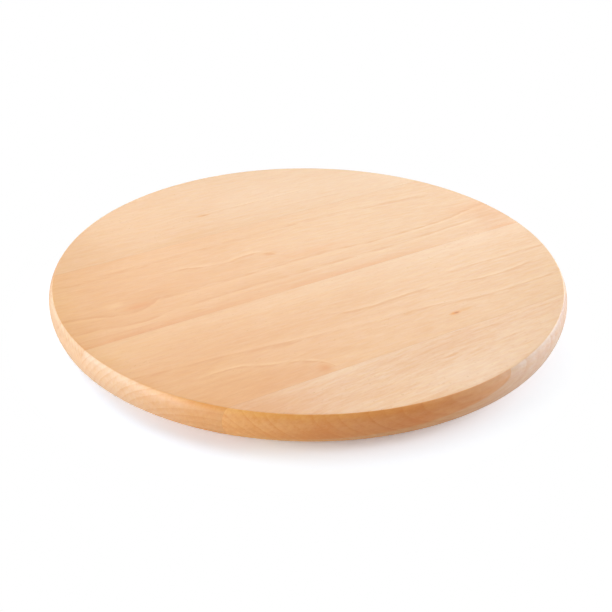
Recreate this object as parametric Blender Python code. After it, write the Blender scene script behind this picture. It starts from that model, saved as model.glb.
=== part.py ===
"""Round edge-glued beech pizza board with a turned rim, modelled stave by stave.

Metres, +Z up. The origin is the centre of the underside. The grain and the glue joints run along X.
"""

import math

import bmesh
import bpy
from mathutils import Vector

# Driving dimensions of the board.
DIAMETER = 0.320
THICKNESS = 0.030
TOP_FACE_RADIUS = 0.1573
ARRIS_RADIUS = 0.0006

# The rim swells to its widest ring below the top face, then draws in to a rounded lower corner.
WIDEST_DEPTH = 0.0075
LOWER_CORNER_RADIUS = 0.1573
LOWER_CORNER_DEPTH = 0.0173
LOWER_CORNER_ROUNDING = 0.004

# Below the corner the underside is cut away in a long slope, so fingers reach under the rim.
FOOT_RADIUS = 0.131
FOOT_ROUNDING = 0.003

# The panel is glued up from staves of one width. The first joint counts from the front.
STAVE_WIDTH = 0.090
FIRST_JOINT = -0.1065
STAVE_COUNT = 4
JOINT_GAP = 0.0003

# Fineness of the turned surface.
TURNING_STEPS = 144
SWELL_STEPS = 5
ROUNDING_STEPS = 3
SMOOTH_ANGLE = math.radians(30.0)
SAME_PLACE = 1e-7

# Linear colour of each stave's wood, front to back: the boards of one panel differ a little.
STAVE_COLOURS = (
    (0.84, 0.53, 0.33),
    (0.86, 0.59, 0.36),
    (0.83, 0.52, 0.31),
    (0.88, 0.62, 0.40),
)
WOOD_ROUGHNESS = 0.45
WOOD_METALLIC = 0.0


def swell_arc(end_radius, end_height):
    """Points of the arc that leaves the widest ring upright and ends at the given ring."""
    widest_radius = DIAMETER / 2
    widest_height = THICKNESS - WIDEST_DEPTH
    drawn_in = widest_radius - end_radius
    rise = end_height - widest_height
    arc_radius = (drawn_in ** 2 + rise ** 2) / (2 * drawn_in)
    sweep = math.asin(rise / arc_radius)
    points = []
    for step in range(SWELL_STEPS + 1):
        angle = sweep * step / SWELL_STEPS
        radius = widest_radius - arc_radius * (1 - math.cos(angle))
        points.append(Vector((radius, widest_height + arc_radius * math.sin(angle))))
    return points


def rounded_corner(before, corner, after, rounding):
    """Points of the arc that rounds a corner between two straight runs."""
    to_before = (before - corner).normalized()
    to_after = (after - corner).normalized()
    half_angle = to_before.angle(to_after) / 2
    bisector = (to_before + to_after).normalized()
    centre = corner + bisector * (rounding / math.sin(half_angle))
    reach = rounding / math.tan(half_angle)
    start = corner + to_before * reach - centre
    end = corner + to_after * reach - centre
    points = []
    for step in range(ROUNDING_STEPS + 1):
        direction = start.slerp(end, step / ROUNDING_STEPS).normalized()
        points.append(centre + direction * rounding)
    return points


def board_outline():
    """Half outline of the turned board, from the middle of the top to the middle of the underside."""
    top_middle = Vector((0.0, THICKNESS))
    underside_middle = Vector((0.0, 0.0))
    upper_swell = swell_arc(TOP_FACE_RADIUS, THICKNESS)[::-1]
    lower_swell = swell_arc(LOWER_CORNER_RADIUS, THICKNESS - LOWER_CORNER_DEPTH)
    foot = Vector((FOOT_RADIUS, 0.0))

    outline = [top_middle]
    outline += rounded_corner(top_middle, upper_swell[0], upper_swell[1], ARRIS_RADIUS)
    outline += upper_swell[1:]
    outline += lower_swell[1:-1]
    outline += rounded_corner(lower_swell[-2], lower_swell[-1], foot, LOWER_CORNER_ROUNDING)
    outline += rounded_corner(lower_swell[-1], foot, underside_middle, FOOT_ROUNDING)
    outline.append(underside_middle)
    return outline


def turn_board():
    """Whole turned board: the outline spun once round the vertical axis."""
    mesh = bmesh.new()
    ring = [mesh.verts.new((point.x, 0.0, point.y)) for point in board_outline()]
    edges = [mesh.edges.new(pair) for pair in zip(ring, ring[1:])]
    bmesh.ops.spin(
        mesh,
        geom=ring + edges,
        cent=(0.0, 0.0, 0.0),
        axis=(0.0, 0.0, 1.0),
        angle=math.tau,
        steps=TURNING_STEPS,
        use_merge=True,
    )
    bmesh.ops.remove_doubles(mesh, verts=mesh.verts, dist=SAME_PLACE)
    bmesh.ops.recalc_face_normals(mesh, faces=mesh.faces)
    return mesh


def cut_away(mesh, joint_y, outward):
    """Cuts the board square along a joint, drops what lies outward of it and closes the glue face."""
    everything = mesh.verts[:] + mesh.edges[:] + mesh.faces[:]
    bmesh.ops.bisect_plane(
        mesh,
        geom=everything,
        dist=SAME_PLACE,
        plane_co=(0.0, joint_y, 0.0),
        plane_no=(0.0, outward, 0.0),
        clear_outer=True,
    )
    open_edges = [edge for edge in mesh.edges if edge.is_boundary]
    bmesh.ops.edgeloop_fill(mesh, edges=open_edges)
    bmesh.ops.recalc_face_normals(mesh, faces=mesh.faces)


def wood_material(name, colour):
    """Plain wood of one stave."""
    material = bpy.data.materials.new(name)
    material.use_nodes = True
    shader = material.node_tree.nodes["Principled BSDF"]
    shader.inputs["Base Color"].default_value = (*colour, 1.0)
    shader.inputs["Roughness"].default_value = WOOD_ROUGHNESS
    shader.inputs["Metallic"].default_value = WOOD_METALLIC
    material.diffuse_color = (*colour, 1.0)
    return material


def make_stave(number):
    """One stave of the panel, counted from the front: the turned board between two joints."""
    name = f"stave_{number}"
    board = turn_board()
    if number > 1:
        front_joint = FIRST_JOINT + (number - 2) * STAVE_WIDTH
        cut_away(board, front_joint + JOINT_GAP / 2, -1.0)
    if number < STAVE_COUNT:
        back_joint = FIRST_JOINT + (number - 1) * STAVE_WIDTH
        cut_away(board, back_joint - JOINT_GAP / 2, 1.0)
    mesh = bpy.data.meshes.new(name)
    board.to_mesh(mesh)
    board.free()
    mesh.materials.append(wood_material(f"{name}_wood", STAVE_COLOURS[number - 1]))
    mesh.shade_smooth()
    mesh.set_sharp_from_angle(angle=SMOOTH_ANGLE)
    stave = bpy.data.objects.new(name, mesh)
    bpy.context.collection.objects.link(stave)
    return stave


def main():
    """Clears the scene and builds the board."""
    for old in list(bpy.data.objects):
        bpy.data.objects.remove(old)
    for number in range(1, STAVE_COUNT + 1):
        make_stave(number)


if __name__ == "__main__":
    main()
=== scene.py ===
"""Looks of the round edge-glued beech pizza board: turned staves, wood figure, floor and studio light."""

import logging
import math
from dataclasses import dataclass, field
from enum import Enum
from typing import ClassVar, Optional, Sequence, Union

import bmesh
import bpy
import numpy as np
from bpy.types import Material, Node, NodeSocket as Socket, Object
from mathutils import Matrix, Vector


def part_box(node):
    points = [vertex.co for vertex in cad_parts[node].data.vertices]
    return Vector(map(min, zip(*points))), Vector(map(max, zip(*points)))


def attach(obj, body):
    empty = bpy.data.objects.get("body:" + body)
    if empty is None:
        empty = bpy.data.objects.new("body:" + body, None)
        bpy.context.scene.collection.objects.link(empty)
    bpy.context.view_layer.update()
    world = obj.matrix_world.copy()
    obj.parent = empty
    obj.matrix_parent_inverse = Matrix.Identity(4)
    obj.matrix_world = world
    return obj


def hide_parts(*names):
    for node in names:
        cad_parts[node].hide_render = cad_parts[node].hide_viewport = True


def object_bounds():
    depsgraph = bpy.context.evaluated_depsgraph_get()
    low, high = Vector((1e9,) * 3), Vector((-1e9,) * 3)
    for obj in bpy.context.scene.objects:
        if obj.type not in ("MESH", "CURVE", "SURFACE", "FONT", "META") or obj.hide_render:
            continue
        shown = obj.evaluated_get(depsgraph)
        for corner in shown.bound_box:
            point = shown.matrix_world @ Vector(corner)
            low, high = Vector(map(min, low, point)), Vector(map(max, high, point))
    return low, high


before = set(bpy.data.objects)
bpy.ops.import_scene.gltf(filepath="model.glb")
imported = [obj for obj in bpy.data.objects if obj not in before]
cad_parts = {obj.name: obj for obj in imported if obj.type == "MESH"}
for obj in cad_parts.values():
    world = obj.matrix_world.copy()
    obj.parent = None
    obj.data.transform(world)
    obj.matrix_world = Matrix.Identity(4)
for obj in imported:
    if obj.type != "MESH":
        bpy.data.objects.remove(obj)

Value = Union[float, Socket]
Colour = tuple[float, float, float]
Pair = tuple[float, float]

log = logging.getLogger("pizza_board")

CAD_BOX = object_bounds()
MM = 0.001

# Bearing of the picture's right in the board's frame, in degrees.
PICTURE_TURN = -32.25

# Points of a mesh this near each other, in metres, become one. Edges sharper than the angle stay crisp.
SAME_PLACE = 2e-7
SHARP_ANGLE = math.radians(32.0)


class End(Enum):
    """Which way along Y an outer stave bulges away from its only glue joint."""

    FRONT = -1.0
    BACK = 1.0


# Shape of the turned board


@dataclass(frozen=True)
class TurnedOutline:
    """Half outline of the turned board, in metres, from the arris to the edge of the flat foot.

    Attributes:
        widest_radius: radius of the widest ring.
        top_height: height of the top face over the underside.
        top_radius: radius of the flat top face, at its arris.
        arris: rounding of that arris.
        widest_depth: depth of the widest ring below the top face.
        corner_radius: radius of the lower corner of the rim, before rounding.
        corner_depth: depth of that corner below the top face.
        corner_rounding: rounding of the lower corner.
        foot_radius: radius of the flat underside, before rounding.
        foot_rounding: rounding where the slope meets the flat underside.
    """

    widest_radius: float
    top_height: float
    top_radius: float = 0.1573
    arris: float = 0.0006
    widest_depth: float = 0.0075
    corner_radius: float = 0.1573
    corner_depth: float = 0.0173
    corner_rounding: float = 0.004
    foot_radius: float = 0.131
    foot_rounding: float = 0.003

    SWELL_STEPS: ClassVar[int] = 18
    CORNER_STEPS: ClassVar[int] = 10
    SLOPE_STEPS: ClassVar[int] = 7
    FINE_STEPS: ClassVar[int] = 6

    def swell(self, end_radius: float, end_height: float) -> np.ndarray:
        """Arc that leaves the widest ring upright and ends at the given ring.

        Its radius is (inset squared + rise squared) over twice the inset. Its point at angle a
        lies radius * (1 - cos a) further in and radius * sin a higher.

        Args:
            end_radius: radius of the ring that the arc ends on.
            end_height: height of that ring.

        Returns:
            Rows of (radius, height), from the widest ring to the end.
        """
        start_height = self.top_height - self.widest_depth
        inset = self.widest_radius - end_radius
        rise = end_height - start_height
        bend = (inset ** 2 + rise ** 2) / (2 * inset)
        angles = np.linspace(0.0, math.asin(rise / bend), self.SWELL_STEPS + 1)
        radii = self.widest_radius - bend * (1 - np.cos(angles))
        return np.column_stack([radii, start_height + bend * np.sin(angles)])

    @staticmethod
    def rounded(
        before: np.ndarray, corner: np.ndarray, after: np.ndarray, radius: float, steps: int
    ) -> np.ndarray:
        """Circular arc that rounds a corner between two straight runs.

        Its centre lies on the bisector, radius / sin(half the angle) from the corner, and its
        ends lie radius / tan(half the angle) along each run.

        Args:
            before: point that the outline comes from.
            corner: the sharp corner.
            after: point that the outline goes to.
            radius: radius of the rounding.
            steps: number of stretches.

        Returns:
            Rows of (radius, height) along the arc.
        """
        back = (before - corner) / np.linalg.norm(before - corner)
        ahead = (after - corner) / np.linalg.norm(after - corner)
        half = math.acos(float(back @ ahead)) / 2
        bisector = (back + ahead) / np.linalg.norm(back + ahead)
        centre = corner + bisector * radius / math.sin(half)
        start = corner + back * radius / math.tan(half) - centre
        end = corner + ahead * radius / math.tan(half) - centre
        share = np.linspace(0.0, 1.0, steps + 1)[:, None]
        spokes = start * (1 - share) + end * share
        return centre + spokes / np.linalg.norm(spokes, axis=1)[:, None] * radius

    def rim(self) -> np.ndarray:
        """Rows of (radius, height) from the arris down the rim to the end of the foot's rounding."""
        upper = self.swell(self.top_radius, self.top_height)[::-1]
        lower = self.swell(self.corner_radius, self.top_height - self.corner_depth)
        middle = np.array([0.0, self.top_height])
        foot = np.array([self.foot_radius, 0.0])
        slope_start = self.rounded(lower[-2], lower[-1], foot, self.corner_rounding, self.CORNER_STEPS)
        slope_end = self.rounded(lower[-1], foot, np.zeros(2), self.foot_rounding, self.FINE_STEPS)
        share = np.linspace(0.0, 1.0, self.SLOPE_STEPS + 1)[1:-1, None]
        slope = slope_start[-1] * (1 - share) + slope_end[0] * share
        keep = lower[1:-1][lower[1:-1, 1] > slope_start[0, 1]]
        arris = self.rounded(middle, upper[0], upper[1], self.arris, self.FINE_STEPS)
        body = upper[1:][upper[1:, 1] < arris[-1, 1]]
        return np.vstack([arris, body, keep, slope_start, slope, slope_end])


def linked(name: str, data: bpy.types.ID) -> Object:
    """New object of the scene."""
    made = bpy.data.objects.new(name, data)
    bpy.context.scene.collection.objects.link(made)
    return made


def object_from_grid(name: str, points: np.ndarray, faces: Sequence[Sequence[int]]) -> Object:
    """Mesh object at the origin from computed points and faces, doubles merged and faces turned out.

    Args:
        name: name of the object and its mesh.
        points: rows of x, y, z in metres.
        faces: corner indices of each face.

    Returns:
        The linked object.
    """
    mesh = bpy.data.meshes.new(name)
    mesh.from_pydata(points.tolist(), [], [list(map(int, face)) for face in faces])
    work = bmesh.new()
    work.from_mesh(mesh)
    bmesh.ops.remove_doubles(work, verts=work.verts, dist=SAME_PLACE)
    bmesh.ops.recalc_face_normals(work, faces=work.faces)
    work.to_mesh(mesh)
    work.free()
    mesh.shade_smooth()
    mesh.set_sharp_from_angle(angle=SHARP_ANGLE)
    return linked(name, mesh)


def grid_faces(rows: int, columns: int, closed: bool) -> np.ndarray:
    """Quads between neighbouring rows and columns of a grid, row by row.

    Args:
        rows: number of rows of points.
        columns: number of points in a row.
        closed: whether the last column joins the first.

    Returns:
        Rows of four corner indices.
    """
    spans = columns if closed else columns - 1
    row, column = np.meshgrid(np.arange(rows - 1), np.arange(spans), indexing="ij")
    following = (column + 1) % columns
    corners = [row * columns + column, row * columns + following]
    corners += [(row + 1) * columns + following, (row + 1) * columns + column]
    return np.stack(corners, axis=-1).reshape(-1, 4)


@dataclass
class Stave:
    """One stave of the panel, between two planes across Y.

    Attributes:
        node: CAD node that it stands for, and name of its piece.
        outline: outline of the turned board.
        near: Y of its front side.
        far: Y of its back side.
        wood: its wood.
        slot: material slot of the record; not used.
        seam: half of the hair's breadth left at each glue joint, in metres.
    """

    node: str
    outline: TurnedOutline
    near: float
    far: float
    wood: "BeechWood"
    slot: str
    seam: float = 0.00001

    def surface(self) -> tuple[np.ndarray, list[Sequence[int]]]:
        """Points and faces of the closed stave."""
        raise NotImplementedError

    def joints(self) -> tuple[float, ...]:
        """Y of its glue joints."""
        return self.near, self.far

    def build(self) -> Object:
        """Makes the piece, dresses it and puts it in the place of its CAD node."""
        points, faces = self.surface()
        piece = object_from_grid(f"{self.node}_wood", points, faces)
        joints = [joint / MM for joint in self.joints()]
        wood = self.wood.material(f"beech_{self.node}", self.outline.top_height / MM, joints)
        piece.data.materials.append(wood)
        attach(piece, "root")
        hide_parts(self.node)
        mesh = piece.data
        log.info("%s: %d points, %d faces", piece.name, len(mesh.vertices), len(mesh.polygons))
        return piece


@dataclass
class InnerStave(Stave):
    """Stave with a glue joint on both sides: its closed cross-section carried along Y."""

    rows: int = 120
    face_columns: int = 24

    def surface(self) -> tuple[np.ndarray, list[Sequence[int]]]:
        """Cross-section at each Y, whose ring points lie at x = root(radius squared - y squared).

        Returns:
            Points, and faces with the two glue faces closed.
        """
        rim = self.outline.rim()
        across = np.linspace(self.near + self.seam, self.far - self.seam, self.rows)
        reach = np.sqrt(rim[None, :, 0] ** 2 - across[:, None] ** 2)
        heights = np.broadcast_to(rim[:, 1], reach.shape)
        share = np.linspace(-1.0, 1.0, self.face_columns + 2)[1:-1]
        top_x = reach[:, :1] * share
        top_z = np.full(top_x.shape, self.outline.top_height)
        under_x = -reach[:, -1:] * share
        x = np.hstack([top_x, reach, under_x, -reach[:, ::-1]])
        z = np.hstack([top_z, heights, np.zeros(under_x.shape), heights[:, ::-1]])
        y = np.broadcast_to(across[:, None], x.shape)
        points = np.stack([x, y, z], axis=-1).reshape(-1, 3)
        columns = x.shape[1]
        faces = grid_faces(self.rows, columns, closed=True).tolist()
        faces.append(list(range(columns)))
        faces.append(list(range(len(points) - columns, len(points)))[::-1])
        return points, faces


@dataclass
class OuterStave(Stave):
    """Stave with one glue joint: the rim's outline carried round the arc that the joint cuts off."""

    end: End = End.FRONT
    rows: int = 240
    face_columns: int = 12

    def joints(self) -> tuple[float, ...]:
        """Y of its only glue joint."""
        return (self.far,) if self.end is End.FRONT else (self.near,)

    def surface(self) -> tuple[np.ndarray, list[Sequence[int]]]:
        """Outline at each share v of the arc: its ring points lie at the angle v * acos(joint / radius).

        Returns:
            Points, and faces with the glue face closed.
        """
        rim = self.outline.rim()
        joint = self.joints()[0] * self.end.value + self.seam
        share = np.linspace(-1.0, 1.0, self.rows)
        angles = share[:, None] * np.arccos(joint / rim[None, :, 0])
        x = rim[:, 0] * np.sin(angles)
        y = rim[:, 0] * np.cos(angles)
        z = np.broadcast_to(rim[:, 1], x.shape)
        run = np.linspace(0.0, 1.0, self.face_columns + 1)[:-1]
        joint_x = share * math.sqrt(rim[0, 0] ** 2 - joint ** 2)
        foot_x = share * math.sqrt(rim[-1, 0] ** 2 - joint ** 2)
        top_x = joint_x[:, None] * (1 - run) + x[:, :1] * run
        top_y = joint * (1 - run) + y[:, :1] * run
        under_x = (foot_x[:, None] * (1 - run) + x[:, -1:] * run)[:, ::-1]
        under_y = (joint * (1 - run) + y[:, -1:] * run)[:, ::-1]
        x = np.hstack([top_x, x, under_x])
        y = np.hstack([top_y, y, under_y]) * self.end.value
        z = np.hstack([np.full(top_x.shape, self.outline.top_height), z, np.zeros(under_x.shape)])
        points = np.stack([x, y, z], axis=-1).reshape(-1, 3)
        columns = x.shape[1]
        faces = grid_faces(self.rows, columns, closed=False).tolist()
        starts = np.arange(self.rows) * columns
        bottom = starts[::-1] + columns - 1
        last = starts[-1]
        edge = [*starts, *range(last + 1, last + columns), *bottom[1:], *range(columns - 2, 0, -1)]
        faces.append([int(corner) for corner in edge])
        return points, faces


# Wood


class Graph:
    """Shader nodes of one material or world, wired by short calls."""

    # How far a noise between 0 and 1 is spread about 0.
    SPREAD = 4.0

    def __init__(self, owner: Union[Material, bpy.types.World]) -> None:
        """Empties the owner's node tree and keeps it."""
        owner.use_nodes = True
        self.tree = owner.node_tree
        self.tree.nodes.clear()

    def node(self, kind: str, **settings: object) -> Node:
        """New node of a kind, with its settings."""
        made = self.tree.nodes.new(kind)
        for key, value in settings.items():
            setattr(made, key, value)
        return made

    def feed(self, socket: Socket, value: object) -> None:
        """Links a socket's output into an input, or sets the input to a constant."""
        if isinstance(value, Socket):
            self.tree.links.new(value, socket)
        else:
            socket.default_value = value

    def math(self, operation: str, *values: Value) -> Socket:
        """Result of one Math node."""
        made = self.node("ShaderNodeMath", operation=operation)
        for socket, value in zip(made.inputs, values):
            self.feed(socket, value)
        return made.outputs[0]

    def product(self, first: Value, second: Value) -> Socket:
        """One value times another."""
        return self.math("MULTIPLY", first, second)

    def scaled(self, value: Value, factor: Value, offset: Value = 0.0) -> Socket:
        """Value times factor plus offset."""
        return self.math("MULTIPLY_ADD", value, factor, offset)

    def weighted(self, base: Value, values: Sequence[Value], weights: Sequence[float]) -> Socket:
        """Base plus each value times its weight."""
        for value, weight in zip(values, weights):
            base = self.scaled(value, weight, base)
        return base

    def step(self, value: Value, low: float, high: float) -> Socket:
        """Smooth step from 0 at low to 1 at high; low may be the larger."""
        made = self.node("ShaderNodeMapRange", interpolation_type="SMOOTHSTEP", clamp=True)
        flip = low > high
        self.feed(made.inputs["Value"], value)
        made.inputs["From Min"].default_value = min(low, high)
        made.inputs["From Max"].default_value = max(low, high)
        made.inputs["To Min"].default_value = 1.0 if flip else 0.0
        made.inputs["To Max"].default_value = 0.0 if flip else 1.0
        return made.outputs["Result"]

    def band(self, value: Value, rise: Pair, fall: Pair) -> Socket:
        """1 between two smooth steps and 0 beyond them."""
        return self.product(self.step(value, *rise), self.step(value, *fall))

    def vector(self, x: Value, y: Value, z: Value) -> Socket:
        """Vector of three values."""
        made = self.node("ShaderNodeCombineXYZ")
        for place, value in enumerate((x, y, z)):
            self.feed(made.inputs[place], value)
        return made.outputs[0]

    def vector_math(
        self, operation: str, first: object, second: object, output: str = "Vector"
    ) -> Socket:
        """Result of one Vector Math node."""
        made = self.node("ShaderNodeVectorMath", operation=operation)
        self.feed(made.inputs[0], first)
        self.feed(made.inputs[1], second)
        return made.outputs[output]

    def noise(self, vector: Socket, detail: float = 2.0) -> Socket:
        """Noise of unit scale, spread evenly about 0, mostly within -1 and 1."""
        made = self.node("ShaderNodeTexNoise")
        self.feed(made.inputs["Vector"], vector)
        made.inputs["Scale"].default_value = 1.0
        made.inputs["Detail"].default_value = detail
        return self.scaled(made.outputs[0], self.SPREAD, -self.SPREAD / 2)

    def curve(self, value: Value, path: Sequence[Pair], reach: float) -> Socket:
        """Smooth curve through some points, level beyond the first and the last.

        The node's own square runs from 0 to 1, so the points are laid about its middle.

        Args:
            value: place along the curve.
            path: pairs of place and value, in rising order of place.
            reach: largest size that a place or value has.

        Returns:
            The curve's value at the place.
        """
        made = self.node("ShaderNodeFloatCurve")
        knots = made.mapping.curves[0].points
        while len(knots) < len(path):
            knots.new(0.5, 0.5)
        for knot, (place, height) in zip(knots, path):
            knot.location = (0.5 + place / (2 * reach), 0.5 + height / (2 * reach))
        made.mapping.extend = "HORIZONTAL"
        made.mapping.update()
        self.feed(made.inputs["Value"], self.scaled(value, 1 / (2 * reach), 0.5))
        return self.scaled(made.outputs["Value"], 2 * reach, -reach)

    def held(self, value: Value, low: float = 0.0) -> Socket:
        """Value held between low and 1."""
        return self.math("MINIMUM", self.math("MAXIMUM", value, low), 1.0)

    def blend(self, factor: Value, first: object, second: object, kind: str = "MIX") -> Socket:
        """Colour blend of two colours; a factor below 0 leads away from the second."""
        made = self.node("ShaderNodeMix", data_type="RGBA", blend_type=kind, clamp_factor=False)
        colours = [socket for socket in made.inputs if socket.type == "RGBA"]
        self.feed(made.inputs[0], factor)
        for socket, value in zip(colours, (first, second)):
            self.feed(socket, (*value, 1.0) if isinstance(value, tuple) else value)
        return next(socket for socket in made.outputs if socket.type == "RGBA")

    def tinted(self, colour: object, tint: object, share: Value = 1.0) -> Socket:
        """Colour multiplied by a share of a tint."""
        return self.blend(share, colour, tint, "MULTIPLY")

    def mixed(self, factor: Value, first: Node, second: Node) -> Node:
        """Mix of two shaders."""
        made = self.node("ShaderNodeMixShader")
        for socket, value in zip(made.inputs, (factor, first.outputs[0], second.outputs[0])):
            self.feed(socket, value)
        return made

    def give(self, shader: Node, output: str = "ShaderNodeOutputMaterial") -> None:
        """Hands a shader to the output."""
        self.feed(self.node(output).inputs["Surface"], shader.outputs[0])


class Grain(Enum):
    """Streaky noises: length and breadth of a feature in mm, shift, and number of finer layers."""

    WANDER = (95.0, 60.0, 0.0, 1.0)
    RIPPLE = (24.0, 15.0, 3.0, 1.0)
    FADING = (70.0, 5.0, 6.0, 1.0)
    FINE = (5.0, 0.8, 1.0, 2.0)
    MIDDLING = (12.0, 1.9, 4.0, 2.0)
    COARSE = (40.0, 4.5, 5.0, 2.0)
    CLOUD = (60.0, 20.0, 9.0, 1.0)
    FLUSH = (14.0, 3.0, 11.0, 2.0)
    STRAW = (10.0, 2.0, 14.0, 2.0)


@dataclass(frozen=True)
class Pith:
    """Heart of the tree that a stave was sawn from: the axis that its growth rings go round, in mm.

    Attributes:
        across: Y of the axis at the middle of the board.
        drift: how far across it moves per mm along the grain.
        below: how far the axis lies below the top face, less than 0 where it lies above.
        rise: how much further below it lies per mm along the grain.
    """

    across: float
    drift: float
    below: float
    rise: float


@dataclass(frozen=True)
class Ring:
    """One growth ring that stands out: a dark late edge with a pale line beside it.

    Attributes:
        path: X and Y of points that it passes on the top face, from left to right, in mm.
        strength: how dark it is.
        width: breadth of the dark side in mm, towards the front, or towards the back where less than 0.
        pale: share of the strength that the pale line on the other side has.
        fade: length over which it comes and goes, in mm.
    """

    path: tuple[Pair, ...]
    strength: float
    width: float = 2.0
    pale: float = 0.8
    fade: float = 14.0


@dataclass(frozen=True)
class Spot:
    """Place in the wood with a reach of its own, in mm.

    Attributes:
        along: X of its middle.
        across: Y of its middle.
        length: reach along the grain.
        breadth: reach across the grain.
        depth: how far below the top face its middle lies.
        thickness: reach up and down.
    """

    along: float
    across: float
    length: float
    breadth: float
    depth: float = field(default=0.0, kw_only=True)
    thickness: float = field(default=4.0, kw_only=True)


@dataclass(frozen=True)
class Swirl(Spot):
    """Place where the rings bulge, from the face down to the foot.

    Attributes:
        push: how much is added to the distance from the pith there.
    """

    push: float
    thickness: float = field(default=1000.0, kw_only=True)


@dataclass(frozen=True)
class Patch(Spot):
    """Soft patch of a darker or paler, redder or yellower tone.

    Attributes:
        dark: how much darker it is, less than 0 where it is paler.
        red: how much redder it is.
        straw: how much yellower it is.
    """

    dark: float
    red: float = 0.0
    straw: float = 0.0


@dataclass(frozen=True)
class PinKnot:
    """Small brown knot of a twig as thin as a pin, in an orange stain drawn out along the grain.

    Attributes:
        along: X of its core, in mm.
        across: Y of its core, in mm.
        length: half length of the core, in mm.
        breadth: half breadth of the core, in mm.
        strength: how strongly core and stain show.
    """

    along: float
    across: float
    length: float
    breadth: float
    strength: float = 1.0


@dataclass(frozen=True)
class SideToneAndSheen:
    """Tint of the turned side: deeper between its ends, partly as it drinks more oil than the planed face
    and partly as painted shade, and paler towards its ends, which is painted sheen.

    Attributes:
        middle: tint of the side between its two ends, deeper: partly the oil that it drinks, partly
            painted shade.
        left: tint towards the left end, paler than the middle: painted sheen.
        right: tint towards the right end, above the undercut, paler than the middle: painted sheen and
            reflection.
        left_run: X at which the left tint begins and X at which it is full, in mm.
        right_run: X at which the right tint begins and X at which it is full, in mm.
        ridge: further tint of the narrow zone just under the arris, between the two ends.
        left_ridge_sheen: further tint of that zone towards the left end: painted highlight.
        right_ridge_sheen: further tint of that zone towards the right end: painted highlight, toned down
            on the first stave.
    """

    middle: Colour = (0.91, 0.74, 0.57)
    left: Colour = (0.90, 0.94, 1.09)
    right: Colour = (0.90, 0.94, 1.09)
    left_run: Pair = (-125.0, -157.0)
    right_run: Pair = (125.0, 157.0)
    ridge: Colour = (0.97, 0.84, 0.64)
    left_ridge_sheen: Colour = (1.10, 1.18, 1.30)
    right_ridge_sheen: Colour = (1.10, 1.18, 1.30)


@dataclass(frozen=True)
class Heart:
    """Deeper coloured heart wood that shows on the turned side above a slanting edge.

    At X the edge lies spread * (tip - X) ** bend below the top face.

    Attributes:
        tip: X at which the edge meets the top face, in mm.
        spread: depth of the edge one mm before the tip, in mm.
        bend: how the edge curves.
        tint: colour that the wood is multiplied by.
        near: Y at which it begins, in mm.
    """

    tip: float
    spread: float
    bend: float
    tint: Colour
    near: float


@dataclass(frozen=True)
class BeechWood:
    """Planed, turned and oiled beech of one stave.

    Attributes:
        pith: where the heart of its tree lies.
        seed: shift that makes its noise its own.
        pale: linear colour of the early wood.
        deep: linear colour of the late wood.
        left: tint of the face towards its left end, deeper: painted shade, where the face shows less
            sheen.
        left_run: X at which that tint begins and X at which it is full, in mm.
        side: tints of the turned side, with painted sheen and shade.
        ring_width: breadth of a common growth ring, in mm.
        ring_strength: how much a common ring shows on the top face.
        side_rings: how much a common ring shows on the turned side.
        wander: how far the grain wanders across, in mm.
        fibre: how much the fibres show as fine streaks.
        rings: rings that stand out.
        swirls: places where the rings bulge.
        patches: soft patches of tone.
        knots: pin knots.
        heart: heart wood on the turned side, if any.
    """

    pith: Pith
    seed: float
    pale: Colour
    deep: Colour
    left: Colour
    left_run: Pair = (120.0, -120.0)
    side: SideToneAndSheen = SideToneAndSheen()
    ring_width: float = 2.2
    ring_strength: float = 0.1
    side_rings: float = 0.5
    wander: float = 1.2
    fibre: float = 0.2
    rings: tuple[Ring, ...] = ()
    swirls: tuple[Swirl, ...] = ()
    patches: tuple[Patch, ...] = ()
    knots: tuple[PinKnot, ...] = ()
    heart: Optional[Heart] = None

    def material(self, name: str, top: float, joints: Sequence[float]) -> Material:
        """Material of this wood.

        Args:
            name: name of the material.
            top: height of the top face, in mm.
            joints: Y of the stave's glue joints, in mm.

        Returns:
            The material.
        """
        made = bpy.data.materials.new(name)
        BeechShader(made, self, top).build(joints)
        return made


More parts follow.
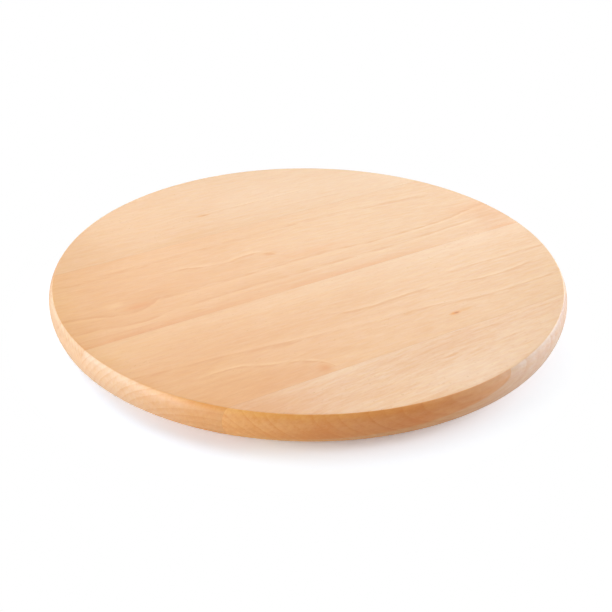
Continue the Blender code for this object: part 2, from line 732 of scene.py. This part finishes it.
class BeechShader(Graph):
    """Shader of one stave's wood.

    Every tone follows from the point's place in the solid wood, so the figure of the face carries
    on over the arris and the rim shows end grain.
    """

    # Colours that the wood is multiplied by.
    RED: Colour = (1.0, 0.85, 0.68)
    STRAW: Colour = (1.0, 0.98, 0.80)
    FLECK: Colour = (0.90, 0.80, 0.70)
    STAIN: Colour = (0.95, 0.62, 0.06)
    KNOT: Colour = (0.74, 0.58, 0.70)
    GLUE: Colour = (0.80, 0.66, 0.52)
    # The arris tint is a painted highlight: a pale line along the rounded arris, which the lamps leave
    # dark.
    ARRIS_HIGHLIGHT: Colour = (1.10, 1.10, 1.06)

    # Mean levels of darkness, of a ring's breaks, of redness, straw yellow and roughness.
    DARK_LEVEL = 0.42
    BREAK_LEVEL = 0.7
    RED_LEVEL = 0.08
    STRAW_LEVEL = 0.32
    ROUGH_LEVEL = 0.34

    # Weights in the darkness: fine, middling and coarse fibres, and clouds.
    FIBRES = (0.8, 1.1, 0.6)
    CLOUDS = 0.05

    # Weights of middling, flush and coarse noise in a ring's breaks, and of the first two in its waver.
    BREAKS = (0.5, 0.6, 0.7)
    WAVER = (0.25, 0.5)

    # Weights of clouds and flush in the redness, and of its own noise in the straw yellow.
    REDNESS = (0.05, 0.18)
    STRAWNESS = 0.38

    # Weights of fine fibres, rays, clouds and the side in the roughness, and of fine fibres, common
    # rings and rays in the relief. Its strength, its height in metres and the oil's refraction.
    ROUGHNESS = (0.03, -0.04, 0.02, 0.08)
    RELIEF = (0.5, -0.3, -0.3)
    RELIEF_STRENGTH = 0.3
    RELIEF_HEIGHT = 0.0001
    OIL_IOR = 1.5

    # How pale the wood may get, and how strongly rays and glue lines show.
    PALEST = -0.5
    FLECK_SHARE = 0.25
    GLUE_ON_FACE = 0.7
    GLUE_ON_SIDE = 0.25

    # The pairs of numbers from here on say where a smooth step begins and where it is done.
    # Depths in mm under the top face, except SIDE_ENDS, which is counted up from the foot.
    SIDE_BEGINS = (0.0, 0.12)
    SIDE_ENDS = (0.05, 0.4)
    # Depths of the painted highlight along the arris.
    ARRIS_HIGHLIGHT_BAND = ((0.0, 0.05), (0.45, 0.1))
    RIDGE_ENDS = (3.2, 0.8)
    RIM_ENDS = (26.0, 17.0)

    # Distances in mm from the heart wood's slanting edge, from its near end and from a glue joint.
    HEART_EDGE = (-0.6, 0.8)
    HEART_FADE = 6.0
    GLUE_EDGE = (0.16, 0.04)

    # Places across a ring that stands out, in its own widths, how far it leans per mm of depth,
    # and the largest X or Y of its path in mm.
    DARK_BAND = ((-1.3, -0.15), (0.36, -0.24))
    PALE_BAND = ((-0.1, 0.5), (2.0, 0.5))
    RING_LEAN = 0.6
    REACH = 170.0

    # A common ring darkens with the square of its year and ends at once. Noise makes it come and go.
    YEAR_ENDS = (1.0, 0.9)
    YEAR_MEAN = 0.28
    FADING_EDGE = (-1.2, 1.0)

    # Shares of the wander that its ripple has, across and away from the pith.
    RIPPLE_ACROSS = 0.25
    RIPPLE_AWAY = 0.10

    # A ray's cell along the grain, round the pith and away from it in mm, and its edge in the cell.
    RAY_CELL = (3.6, 0.9, 16.0)
    RAY_EDGE = (0.34, 0.16)

    # A knot's stain and core: shift to the left, length and breadth in the core's, share and tint.
    KNOT_LAYERS = ((0.5, 2.4, 1.9, 1.0, STAIN), (0.0, 1.0, 1.0, 0.9, KNOT))

    # Distances from a knot in its own size, and size in mm and strength of the noise on its edge.
    KNOT_EDGE = (1.4, 0.3)
    KNOT_BREAKS = (1.3, 0.5)
    KNOT_BROKEN = 0.22

    def __init__(self, made: Material, wood: BeechWood, top: float) -> None:
        """Works out the point's place in the board and in its tree, and the noises there.

        Args:
            made: the material.
            wood: the stave's wood.
            top: height of the top face, in mm.
        """
        super().__init__(made)
        self.wood = wood
        parts = self.node("ShaderNodeSeparateXYZ")
        self.feed(parts.inputs[0], self.node("ShaderNodeTexCoord").outputs["Object"])
        self.x, self.y, self.z = (self.scaled(part, 1 / MM) for part in parts.outputs)
        self.depth = self.scaled(self.z, -1.0, top)
        self.place = self.vector(self.x, self.y, self.depth)
        under_arris = self.step(self.depth, *self.SIDE_BEGINS)
        self.side = self.product(under_arris, self.step(self.z, *self.SIDE_ENDS))

        fibre_y = self.scaled(self.x, -wood.pith.drift, self.y)
        self.fine = self.grain(Grain.FINE, fibre_y, self.z)
        self.middling = self.grain(Grain.MIDDLING, fibre_y, self.z)
        self.coarse = self.grain(Grain.COARSE, fibre_y, self.z)
        self.flush = self.grain(Grain.FLUSH, fibre_y, self.z)
        self.straw = self.grain(Grain.STRAW, fibre_y, self.z)
        self.clouds = self.grain(Grain.CLOUD, self.y, self.z)

        self.radius, self.round_pith = self.tree_place()
        year = self.math("FRACT", self.scaled(self.radius, 1 / wood.ring_width, wood.seed))
        self.saw = self.product(self.math("POWER", year, 2.0), self.step(year, *self.YEAR_ENDS))
        self.rays = self.ray_share()

    def grain(self, kind: Grain, y: Value, z: Value) -> Socket:
        """Noise about 0 whose features are long along the grain and narrow across it."""
        length, breadth, shift, detail = kind.value
        along = self.scaled(self.x, 1 / length, self.wood.seed + shift)
        place = self.vector(along, self.scaled(y, 1 / breadth), self.scaled(z, 1 / breadth))
        return self.noise(place, detail)

    def hill(self, spot: Spot) -> Socket:
        """Rounded hill of height 1: e to the minus of the squared distance in the spot's own lengths."""
        away = self.vector_math("SUBTRACT", self.place, (spot.along, spot.across, spot.depth))
        away = self.vector_math("DIVIDE", away, (spot.length, spot.breadth, spot.thickness))
        squares = self.vector_math("DOT_PRODUCT", away, away, "Value")
        return self.math("EXPONENT", self.scaled(squares, -1.0))

    def tree_place(self) -> tuple[Socket, Socket]:
        """Place in the tree, where the grain wanders and swirls.

        The wander is noise stretched along the grain. It shifts Y by some mm, and its ripple adds
        to the distance as well, so that flat-sawn rings waver more than upright ones.

        Returns:
            The distance from the pith in mm, and the place round the pith in mm.
        """
        pith, wander = self.wood.pith, self.wood.wander
        slow = self.grain(Grain.WANDER, self.y, self.depth)
        quick = self.grain(Grain.RIPPLE, self.y, self.depth)
        axis = self.scaled(self.x, -pith.drift, -pith.across)
        weights = (1.0, wander, wander * self.RIPPLE_ACROSS)
        across = self.weighted(axis, (self.y, slow, quick), weights)
        below = self.weighted(pith.below, (self.x, self.depth), (pith.rise, -1.0))
        distance = self.math("SQRT", self.scaled(across, across, self.product(below, below)))
        radius = self.scaled(quick, wander * self.RIPPLE_AWAY, distance)
        for swirl in self.wood.swirls:
            radius = self.scaled(self.hill(swirl), swirl.push, radius)
        return radius, self.scaled(self.math("ARCTAN2", across, below), abs(pith.below))

    def ray_share(self) -> Socket:
        """Wood rays: ribbons some mm along the grain, a hair wide round the pith, long away from it.

        They show as short dashes on the top and as lines on end grain.
        """
        along, around, away = self.RAY_CELL
        cells = self.node("ShaderNodeTexVoronoi")
        cells.inputs["Scale"].default_value = 1.0
        self.feed(cells.inputs["Vector"], self.vector(
            self.scaled(self.x, 1 / along, self.wood.seed),
            self.scaled(self.round_pith, 1 / around),
            self.scaled(self.radius, 1 / away),
        ))
        return self.step(cells.outputs["Distance"], *self.RAY_EDGE)

    def standing_ring(self, waver: Socket, ring: Ring) -> Socket:
        """Darkness of one ring that stands out: it rises to a late edge and falls to a pale line.

        The ring is a sheet that leans with the depth. Its Y on the top face is a smooth curve
        through the points of its path.

        Args:
            waver: small shift across that keeps the line from being smooth, in mm.
            ring: the ring.

        Returns:
            The darkness, less than 0 in the pale line.
        """
        course = self.curve(self.x, ring.path, self.REACH)
        weights = (1.0, -self.RING_LEAN, -1.0)
        off = self.weighted(waver, (self.y, self.depth, course), weights)
        place = self.scaled(off, 1 / ring.width)
        dark = self.band(place, *self.DARK_BAND)
        pale = self.band(place, *self.PALE_BAND)
        line = self.weighted(0.0, (dark, pale), (ring.strength, -ring.strength * ring.pale))
        half = ring.fade / 2
        first, last = ring.path[0][0], ring.path[-1][0]
        shown = self.band(self.x, (first - half, first + half), (last + half, last - half))
        return self.product(line, shown)

    def tones(self) -> tuple[Socket, Socket, Socket]:
        """Darkness, redness and straw yellow.

        Darkness is the sum of the saw-tooth of the common rings, three sizes of fibre streaks,
        broad cloudiness, the rings that stand out and the patches. Redness and straw yellow come
        and go in streaks of their own.
        """
        wood = self.wood
        showing = self.step(self.grain(Grain.FADING, self.radius, 0.0), *self.FADING_EDGE)
        level = self.scaled(self.side, wood.side_rings - wood.ring_strength, wood.ring_strength)
        common = self.product(self.scaled(self.saw, 1.0, -self.YEAR_MEAN), level)
        dark = self.scaled(common, showing, self.DARK_LEVEL)
        fibres = [weight * wood.fibre for weight in self.FIBRES]
        dark = self.weighted(dark, (self.fine, self.middling, self.coarse), fibres)
        dark = self.scaled(self.clouds, self.CLOUDS, dark)
        broken = self.weighted(self.BREAK_LEVEL, (self.middling, self.flush, self.coarse), self.BREAKS)
        broken = self.math("MAXIMUM", broken, 0.0)
        waver = self.weighted(0.0, (self.middling, self.flush), self.WAVER)
        for ring in wood.rings:
            dark = self.scaled(self.standing_ring(waver, ring), broken, dark)
        red = self.weighted(self.RED_LEVEL, (self.clouds, self.flush), self.REDNESS)
        straw = self.scaled(self.straw, self.STRAWNESS, self.STRAW_LEVEL)
        for patch in wood.patches:
            hill = self.hill(patch)
            dark = self.scaled(hill, patch.dark, dark)
            red = self.scaled(hill, patch.red, red) if patch.red else red
            straw = self.scaled(hill, patch.straw, straw) if patch.straw else straw
        return dark, red, straw

    def knotted(self, colour: Socket, knot: PinKnot) -> Socket:
        """Colour with one pin knot: a stain drawn out along the grain, then a core with a broken edge.

        Both are ellipses whose distance from the middle is roughened by noise. The stain is longer
        and broader than the core and reaches further to the left of it than to the right.

        Args:
            colour: colour of the wood.
            knot: the knot.

        Returns:
            The colour with the knot.
        """
        noise_length, noise_breadth = self.KNOT_BREAKS
        noise_x = self.scaled(self.x, 1 / noise_length, self.wood.seed)
        rough = self.noise(self.vector(noise_x, self.scaled(self.y, 1 / noise_breadth), 0.0))
        for shift, longer, broader, share, tint in self.KNOT_LAYERS:
            length, breadth = knot.length * longer, knot.breadth * broader
            along = self.scaled(self.x, 1 / length, (shift * knot.length - knot.along) / length)
            across = self.scaled(self.y, 1 / breadth, -knot.across / breadth)
            distance = self.math("SQRT", self.scaled(along, along, self.product(across, across)))
            distance = self.scaled(rough, self.KNOT_BROKEN, distance)
            showing = self.scaled(self.step(distance, *self.KNOT_EDGE), share * knot.strength)
            colour = self.tinted(colour, tint, showing)
        return colour

    def place_tint_and_sheen(self) -> Socket:
        """Tint by place: painted shade of the face towards its left end, the turned side's tint with
        painted sheen and shade, and a painted highlight along the arris.
        """
        tone, heart = self.wood.side, self.wood.heart
        # Painted shade: the face deeper towards its left end, where it shows less sheen.
        face_painted_shade = self.blend(self.step(self.x, *self.wood.left_run), (1.0, 1.0, 1.0), self.wood.left)
        leftward = self.step(self.x, *tone.left_run)
        rim = self.step(self.depth, *self.RIM_ENDS)
        rightward = self.product(self.step(self.x, *tone.right_run), rim)
        # Painted sheen on the side towards its ends; its deeper middle is partly painted shade.
        side_tint_and_sheen = self.blend(leftward, tone.middle, tone.left)
        side_tint_and_sheen = self.blend(rightward, side_tint_and_sheen, tone.right)
        if heart is not None:
            before = self.math("MAXIMUM", self.scaled(self.x, -1.0, heart.tip), 0.0)
            edge = self.scaled(self.math("POWER", before, heart.bend), heart.spread)
            above = self.step(self.math("SUBTRACT", edge, self.depth), *self.HEART_EDGE)
            outer = self.step(self.y, heart.near, heart.near - self.HEART_FADE)
            side_tint_and_sheen = self.tinted(side_tint_and_sheen, heart.tint, self.product(above, outer))
        # Painted highlight in the zone just under the arris, towards the ends.
        ridge_tint_and_sheen = self.blend(leftward, tone.ridge, tone.left_ridge_sheen)
        ridge_tint_and_sheen = self.blend(rightward, ridge_tint_and_sheen, tone.right_ridge_sheen)
        side_tint_and_sheen = self.tinted(side_tint_and_sheen, ridge_tint_and_sheen, self.step(self.depth, *self.RIDGE_ENDS))
        tint = self.blend(self.side, face_painted_shade, side_tint_and_sheen)
        # Painted highlight along the arris.
        return self.tinted(tint, self.ARRIS_HIGHLIGHT, self.band(self.depth, *self.ARRIS_HIGHLIGHT_BAND))

    def build(self, joints: Sequence[float]) -> None:
        """Wires colour, roughness and relief.

        Args:
            joints: Y of the stave's glue joints, in mm.
        """
        dark, red, straw = self.tones()
        colour = self.blend(self.held(dark, self.PALEST), self.wood.pale, self.wood.deep)
        colour = self.tinted(colour, self.RED, self.held(red))
        colour = self.tinted(colour, self.STRAW, self.held(straw))
        colour = self.tinted(colour, self.FLECK, self.scaled(self.rays, self.FLECK_SHARE))
        for knot in self.wood.knots:
            colour = self.knotted(colour, knot)
        shown = self.scaled(self.side, self.GLUE_ON_SIDE - self.GLUE_ON_FACE, self.GLUE_ON_FACE)
        for joint in joints:
            line = self.step(self.math("ABSOLUTE", self.scaled(self.y, 1.0, -joint)), *self.GLUE_EDGE)
            colour = self.tinted(colour, self.GLUE, self.product(line, shown))
        colour = self.tinted(colour, self.place_tint_and_sheen())

        shader = self.node("ShaderNodeBsdfPrincipled")
        self.feed(shader.inputs["Base Color"], colour)
        unevenness = (self.fine, self.rays, self.clouds, self.side)
        roughness = self.weighted(self.ROUGH_LEVEL, unevenness, self.ROUGHNESS)
        self.feed(shader.inputs["Roughness"], roughness)
        shader.inputs["IOR"].default_value = self.OIL_IOR
        bump = self.node("ShaderNodeBump")
        bump.inputs["Strength"].default_value = self.RELIEF_STRENGTH
        bump.inputs["Distance"].default_value = self.RELIEF_HEIGHT
        relief = self.weighted(0.0, (self.fine, self.saw, self.rays), self.RELIEF)
        self.feed(bump.inputs["Height"], relief)
        self.feed(shader.inputs["Normal"], bump.outputs[0])
        self.give(shader)


# Woods of the four staves, front to back

FIRST_WOOD = BeechWood(
    pith=Pith(across=-59.4, drift=0.07, below=58.0, rise=0.0),
    seed=1.7,
    pale=(0.90, 0.612, 0.390),
    deep=(0.82, 0.456, 0.230),
    # Painted shade: the face deeper towards its left end.
    left=(0.93, 0.74, 0.52),
    left_run=(-30.0, -150.0),
    # Side tints with painted sheen towards the ends and a painted reflection at the right end.
    side=SideToneAndSheen(
        middle=(0.876, 0.73, 0.58),
        left=(0.97, 0.96, 0.82),
        right=(0.875, 1.0, 1.36),
        left_run=(-45.0, -115.0),
        right_run=(-40.0, 85.0),
        ridge=(1.06, 1.04, 0.84),
        left_ridge_sheen=(1.07, 1.17, 1.12),
        right_ridge_sheen=(0.90, 0.90, 0.94),
    ),
    ring_width=2.8,
    ring_strength=0.22,
    side_rings=0.9,
    wander=0.8,
    fibre=0.25,
    rings=(
        Ring(((-37, -119.5), (0, -117.3)), 0.35, 1.6),
        Ring(((11, -126), (27, -124)), 0.6, 1.8),
        Ring(((26, -107.2), (36, -107)), 0.45, 1.6, 0.2, 6),
        Ring(((42, -111.8), (58, -112.6)), 0.45, 1.6, 0.5, 8),
        Ring(((86, -109), (104, -111)), 0.4, 1.8, 0.6, 8),
        Ring(((-20, -132), (30, -128.5), (70, -126)), 0.25, 2),
    ),
    patches=(
        Patch(-55, -111, 14, 5, -0.3),
        Patch(-82, -110, 8, 3.5, -0.25),
        Patch(-99, -119, 18, 16, 0.45, straw=0.5),
        Patch(-76, -126, 26, 14, 0.28),
        Patch(-4, -148, 50, 13, -0.34, straw=-0.2),
        Patch(24, -114, 30, 9, 0.2),
        Patch(-20, -120, 50, 10, 0.1),
        Patch(95, -137, 50, 18, -0.4, thickness=1.2),
        Patch(-77, -140, 7, 30, 0.45, 0.2, depth=8, thickness=6),
        Patch(-90, -134, 22, 40, 0.5, 0.1, depth=12, thickness=5),
        Patch(-31, -157, 12, 30, 0.55, 0.2, depth=9, thickness=4),
        Patch(-30, -158, 26, 30, 0.35, 0.3, 0.5, depth=1.5, thickness=2.8),
    ),
    heart=Heart(tip=33.6, spread=2.85, bend=0.35, tint=(1.0, 0.80, 0.60), near=-101.0),
)

SECOND_WOOD = BeechWood(
    pith=Pith(across=-105.0, drift=0.0, below=74.3, rise=0.045),
    seed=4.2,
    pale=(0.895, 0.604, 0.361),
    deep=(0.807, 0.448, 0.215),
    # Painted shade: the face deeper towards its left end.
    left=(0.985, 0.822, 0.60),
    # Side tint with painted sheen towards the right end.
    side=SideToneAndSheen(right=(0.85, 0.88, 1.04), right_run=(88.0, 119.0), ridge=(1.05, 0.99, 0.72)),
    ring_width=3.7,
    ring_strength=0.15,
    side_rings=1.0,
    wander=0.9,
    fibre=0.18,
    rings=(
        Ring(
            ((-150, -56), (-143, -56.5), (-85, -63), (-37, -70), (0, -73.5),
             (32, -76), (77, -83), (128, -83)),
            0.42, 2.8,
        ),
        Ring(((-80, -63.8), (-37, -70)), 0.25, 4, 0.2),
        Ring(((-114, -75.5), (-90, -76.5), (-81, -81), (-49, -96), (-46, -106)), 0.5, 2.2, 1.2),
        Ring(((-20, -53), (0, -58), (43, -57.6), (69, -60), (79, -64), (123, -64)), 0.6, 2.4, 0.8),
        Ring(((72, -47.5), (96, -48.5), (120, -49), (148, -49.5)), 0.48, 2.6, 0.9),
    ),
    swirls=(Swirl(-28, -103, 30, 25, 2.6),),
    patches=(
        Patch(-78, -101, 30, 9, 0.22, 0.1),
        Patch(-52, -101, 3.5, 4.5, 0.5, 0.6, 0.4),
        Patch(-106, -92, 28, 16, 0.28, straw=0.8),
        Patch(-12, -100, 24, 8, -0.16),
        Patch(-108, -70, 28, 16, 0.1, straw=0.4),
        Patch(-150, -80, 10, 8, 0.25),
        Patch(-36, -98, 18, 8, -0.28),
        Patch(56, -80, 34, 10, 0.12),
        Patch(88, -62, 24, 5, 0.12),
        Patch(140, -88, 24, 18, -0.18),
        Patch(52, -90.2, 7, 1.2, 0.35, 0.4, 0.5),
        Patch(0, -20, 300, 8, -0.27, straw=-0.3),
        Patch(-140, -27, 42, 12, -0.44),
        Patch(-15, -30, 60, 12, -0.3),
    ),
    knots=(PinKnot(45.9, -90.7, 1.6, 0.75),),
)

THIRD_WOOD = BeechWood(
    pith=Pith(across=24.0, drift=-0.05, below=70.0, rise=0.03),
    seed=7.9,
    pale=(0.897, 0.606, 0.360),
    deep=(0.809, 0.451, 0.216),
    # Painted shade: the face deeper towards its left end.
    left=(0.99, 0.825, 0.595),
    side_rings=0.8,
    wander=0.8,
    fibre=0.175,
    rings=(
        Ring(
            ((-74, 40.5), (-65, 40.5), (-60, 38.2), (-52, 36), (-44, 34), (-38, 33.7),
             (-32, 35.6), (-25, 36.2), (-17.5, 36), (-12, 33), (-8, 29.8), (-5, 25)),
            0.6, 2.4, 1.0,
        ),
        Ring(((-96, 13.5), (-50, 13), (0, 13.4), (35, 13)), 0.48, -3.5, 0.8),
        Ring(((30, 13), (64, 10.4), (96, 11), (123, 13), (136, 16), (158, 18.6)), 0.55, -2.2, 0.8),
        Ring(((-158, 17), (-140, 14), (-118, 6.7), (-106, 9), (-94, 17)), 0.55, -2.6, 0.8),
        Ring(
            ((-158, 0.3), (-137, -1.8), (-122, -4.8), (-108, -4.6), (-94, -1.8),
             (-81, -2.4), (-60, -1.6), (-21, -1.4), (64, -1.8)),
            0.6, -2.6, 0.7,
        ),
        Ring(((50, -1.4), (96, 0.2), (128, 2), (152, 3.6)), 0.35, -2.4, 0.9),
        Ring(((-143, 58.5), (-60, 59), (0, 60.5), (50, 60), (90, 56.5), (128, 52)), 0.34, 3.8, 0.8),
        Ring(((-156, -8), (-120, -9.5), (-60, -8)), 0.25, 2, 0.8),
    ),
    swirls=(Swirl(-118, 14, 14, 9, -2),),
    patches=(
        Patch(-110, -15.5, 60, 3.2, 0.5, 0.4),
        Patch(30, -15, 60, 3.5, 0.42, 0.5),
        Patch(144, -15, 14, 3, 0.45, 0.6),
        Patch(132, -8.5, 24, 4, 0.46),
        Patch(148, 2, 14, 7, 0.7, 0.2),
        Patch(150, 18, 26, 8, 0.18, 0.5),
        Patch(15, 19, 26, 6, 0.18, 0.4),
        Patch(20, -2, 70, 9, 0.13),
        Patch(40, 30, 62, 46, -0.14),
        Patch(8, 50, 60, 14, -0.1),
        Patch(-152, 46, 16, 34, -0.4),
        Patch(-100, 56, 14, 9, -0.16),
        Patch(-97, 19, 20, 4.5, 0.25, straw=0.2),
        Patch(-135, 10, 14, 8, 0.16, straw=0.15),
        Patch(-30, 29, 20, 4, 0.15),
        Patch(-110, 12.5, 9, 3, 0.45, 0.8, 0.5),
        Patch(-122, 20.5, 6, 3, -0.75),
        Patch(-10, 30.5, 4, 2.5, 0.55, 0.6, 0.4),
    ),
)

FOURTH_WOOD = BeechWood(
    pith=Pith(across=85.0, drift=0.0, below=110.0, rise=0.01),
    seed=12.4,
    pale=(0.904, 0.635, 0.411),
    deep=(0.825, 0.494, 0.263),
    # Painted shade: the face deeper towards its left end.
    left=(0.975, 0.843, 0.637),
    ring_strength=0.05,
    wander=1.5,
    fibre=0.165,
    rings=(
        Ring(((-18, 103.2), (20, 103.4), (60, 103)), 0.35, 1.6, 1),
        Ring(((-100, 106.5), (-85, 106.5)), 0.25, 1.6, 1.2),
        Ring(((-60, 88), (40, 87), (110, 84)), 0.14, 2, 0.8, 40),
    ),
    patches=(
        Patch(-56, 78, 30, 5, 0.22, straw=0.25),
        Patch(0, 76.5, 110, 4.5, 0.1, straw=0.15),
        Patch(-50, 90, 50, 9, 0.12),
        Patch(-12, 103.5, 22, 4, 0.18),
        Patch(12, 118, 45, 12, -0.14, straw=-0.15),
        Patch(146, 75, 10, 6, 0.15, straw=0.8),
    ),
    knots=(PinKnot(-19.7, 102, 2, 0.6, 0.5),),
)


# Studio


@dataclass(frozen=True)
class StudioFloor:
    """Plain white table that the board lies on, which keeps the board's shadow.

    Attributes:
        half_width: half of its side, in metres.
        sunk: how far it lies under the board, in metres.
        reflectance: how much light it gives back to the board.
        shown: its colour to the camera where nothing shades it, bluish against the wood's warm glow.
        cooler: factor on that colour at the picture's left, where the wood's glow is strongest.
        cooler_at: distance left of the board's middle at which that factor is full, in metres.
        deeper: factor on that colour at the picture's right, where the shadow is deepest.
        deeper_at: distance right of the board's middle at which that factor is full, in metres.
        centre: middle of the shaded round, in metres.
        fade: distances from there at which the plain white begins and is full, in metres.
    """

    half_width: float = 6.0
    sunk: float = 0.00002
    reflectance: float = 0.85
    shown: Colour = (1.44, 1.63, 1.84)
    cooler: Colour = (0.99, 1.085, 1.185)
    cooler_at: float = 0.12
    deeper: Colour = (0.965, 0.945, 0.955)
    deeper_at: float = 0.10
    centre: Pair = (-0.0052, 0.0014)
    fade: Pair = (0.133, 0.184)

    def build(self) -> Object:
        """Makes the flat grid of the floor, level at every u and v, with its material."""
        side = np.linspace(-self.half_width, self.half_width, 3)
        u, v = np.meshgrid(side, side)
        points = np.stack([u, v, np.full(u.shape, -self.sunk)], axis=-1).reshape(-1, 3)
        floor = object_from_grid("studio_floor", points, grid_faces(3, 3, closed=False).tolist())
        for polygon in floor.data.polygons:
            if polygon.normal.z < 0:
                polygon.flip()
        floor.data.materials.append(self.material())
        return floor

    def material(self) -> Material:
        """Matt white that keeps the shadow near the board and is plain white away from it."""
        made = bpy.data.materials.new("white_table")
        graph = Graph(made)
        place = graph.node("ShaderNodeTexCoord").outputs["Object"]
        distance = graph.vector_math("DISTANCE", place, (*self.centre, 0.0), "Value")
        bearing = math.radians(PICTURE_TURN)
        right = (math.cos(bearing), math.sin(bearing), 0.0)
        rightward = graph.vector_math("DOT_PRODUCT", place, right, "Value")
        shown = graph.tinted(self.shown, self.cooler, graph.step(rightward, 0.0, -self.cooler_at))
        shown = graph.tinted(shown, self.deeper, graph.step(rightward, 0.0, self.deeper_at))
        to_camera = graph.node("ShaderNodeLightPath").outputs["Is Camera Ray"]
        plain = (self.reflectance, self.reflectance, self.reflectance)
        cloth = graph.node("ShaderNodeBsdfDiffuse")
        graph.feed(cloth.inputs["Color"], graph.blend(to_camera, plain, shown))
        glow = graph.node("ShaderNodeEmission")
        glow.inputs["Color"].default_value = (1.0, 1.0, 1.0, 1.0)
        glow.inputs["Strength"].default_value = 1.0
        away = graph.step(distance, *self.fade)
        graph.give(graph.mixed(graph.product(away, to_camera), cloth, glow))
        return made


@dataclass(frozen=True)
class SoftBox:
    """Square diffused lamp that points at the board.

    Attributes:
        name: name of the lamp.
        bearing: direction from the board in degrees, from the picture's right towards its back.
        height: elevation above the table in degrees.
        power: power in watts.
        distance: distance from the board's middle, in metres.
        side: width of the lamp, in metres.
    """

    name: str
    bearing: float
    height: float
    power: float
    distance: float = 1.6
    side: float = 0.9

    def place(self) -> Object:
        """Hangs the lamp."""
        lamp = bpy.data.lights.new(self.name, "AREA")
        lamp.shape = "SQUARE"
        lamp.size = self.side
        lamp.energy = self.power
        made = linked(self.name, lamp)
        bearing = math.radians(self.bearing + PICTURE_TURN)
        height = math.radians(self.height)
        level = math.cos(height)
        towards = Vector((math.cos(bearing) * level, math.sin(bearing) * level, math.sin(height)))
        made.location = towards * self.distance
        made.rotation_euler = towards.to_track_quat("Z", "Y").to_euler()
        return made


@dataclass(frozen=True)
class StudioAir:
    """Even light of the white room, which the camera sees as plain white.

    Attributes:
        level: how strongly it lights the board.
    """

    level: float = 0.08

    def build(self) -> None:
        """Sets the world."""
        world = bpy.data.worlds.new("white_room")
        bpy.context.scene.world = world
        graph = Graph(world)
        room = graph.node("ShaderNodeBackground")
        seen = graph.node("ShaderNodeBackground")
        for shader, strength in ((room, self.level), (seen, 1.0)):
            shader.inputs["Color"].default_value = (1.0, 1.0, 1.0, 1.0)
            shader.inputs["Strength"].default_value = strength
        to_camera = graph.node("ShaderNodeLightPath").outputs["Is Camera Ray"]
        graph.give(graph.mixed(to_camera, room, seen), "ShaderNodeOutputWorld")


@dataclass(frozen=True)
class PictureCamera:
    """Camera at the picture's viewing angle.

    Attributes:
        top_radius: radius of the top face, in metres.
        top_height: height of the top face, in metres.
        picture_side: side of the picture, in pixels.
        focal_pixels: focal length, in pixels.
        distance: distance from the middle of the top face, in radii of it.
        elevation: height of the camera over the top face, in degrees.
        roll: roll of the camera, in degrees.
        middle: pixel at which the middle of the top face lies.
        sensor: width of the sensor, in mm.
        nearest: nearest distance that it sees, in metres.
    """

    top_radius: float
    top_height: float
    picture_side: float = 612.0
    focal_pixels: float = 1200.0
    distance: float = 4.770
    elevation: float = 28.236
    roll: float = 0.505
    middle: Pair = (308.235, 269.09)
    sensor: float = 36.0
    nearest: float = 0.01

    def build(self) -> Object:
        """Places the camera: turned about the board, then swung so that the middle falls on its pixel."""
        data = bpy.data.cameras.new("picture_camera")
        data.sensor_width = self.sensor
        data.lens = self.focal_pixels * self.sensor / self.picture_side
        data.clip_start = self.nearest
        made = linked("picture_camera", data)
        half = self.picture_side / 2
        sight = Vector((
            (self.middle[0] - half) / self.focal_pixels,
            (half - self.middle[1]) / self.focal_pixels,
            -1.0,
        ))
        swing = Vector((0.0, 0.0, -1.0)).rotation_difference(sight).to_matrix().inverted()
        turned = Matrix.Rotation(math.radians(PICTURE_TURN), 3, "Z")
        tilted = Matrix.Rotation(math.radians(90.0 - self.elevation), 3, "X")
        rolled = Matrix.Rotation(math.radians(self.roll), 3, "Z")
        facing = turned @ tilted @ rolled
        target = Vector((0.0, 0.0, self.top_height))
        away = facing @ Vector((0.0, 0.0, 1.0)) * self.distance * self.top_radius
        made.matrix_world = Matrix.Translation(target + away) @ (facing @ swing).to_4x4()
        bpy.context.scene.camera = made
        return made


@dataclass
class PizzaBoard:
    """The whole board: its outline and its staves."""

    outline: TurnedOutline
    staves: list[Stave]

    @classmethod
    def from_frame(cls) -> "PizzaBoard":
        """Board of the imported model's size, with the joints where its staves meet."""
        low, high = CAD_BOX
        outline = TurnedOutline(widest_radius=(high[0] - low[0]) / 2, top_height=high[2])
        joints = []
        for number in (1, 2, 3):
            front_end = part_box(f"stave_{number}")[1][1]
            back_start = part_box(f"stave_{number + 1}")[0][1]
            joints.append(float(front_end + back_start) / 2)
        staves: list[Stave] = [
            OuterStave("stave_1", outline, low[1], joints[0], FIRST_WOOD, "stave_1_wood", end=End.FRONT),
            InnerStave("stave_2", outline, joints[0], joints[1], SECOND_WOOD, "stave_2_wood"),
            InnerStave("stave_3", outline, joints[1], joints[2], THIRD_WOOD, "stave_3_wood"),
            OuterStave("stave_4", outline, joints[2], high[1], FOURTH_WOOD, "stave_4_wood", end=End.BACK),
        ]
        return cls(outline, staves)

    def build(self) -> None:
        """Builds every stave."""
        for stave in self.staves:
            stave.build()


def light_room() -> None:
    """Sets the room's even light and hangs the soft boxes."""
    StudioAir().build()
    boxes = (
        SoftBox("left_low_box", 210.0, 12.0, 22.3),
        SoftBox("left_high_box", 180.0, 60.0, 5.5),
        SoftBox("right_low_box", 0.0, 12.0, 8.3),
        SoftBox("right_back_box", 30.0, 12.0, 14.3),
        SoftBox("right_far_box", 60.0, 12.0, 4.9),
        SoftBox("right_front_box", -30.0, 35.0, 5.4),
        SoftBox("back_box", 90.0, 35.0, 7.9),
        SoftBox("left_back_box", 120.0, 12.0, 4.0),
    )
    for box in boxes:
        box.place()


def main() -> None:
    """Builds the camera, the board, its table and the light."""
    logging.basicConfig(level=logging.INFO, format="%(name)s: %(message)s")
    board = PizzaBoard.from_frame()
    PictureCamera(board.outline.top_radius, board.outline.top_height).build()
    board.build()
    StudioFloor().build()
    light_room()
    bpy.context.scene.view_settings.view_transform = "Standard"


if __name__ == "__main__":
    main()
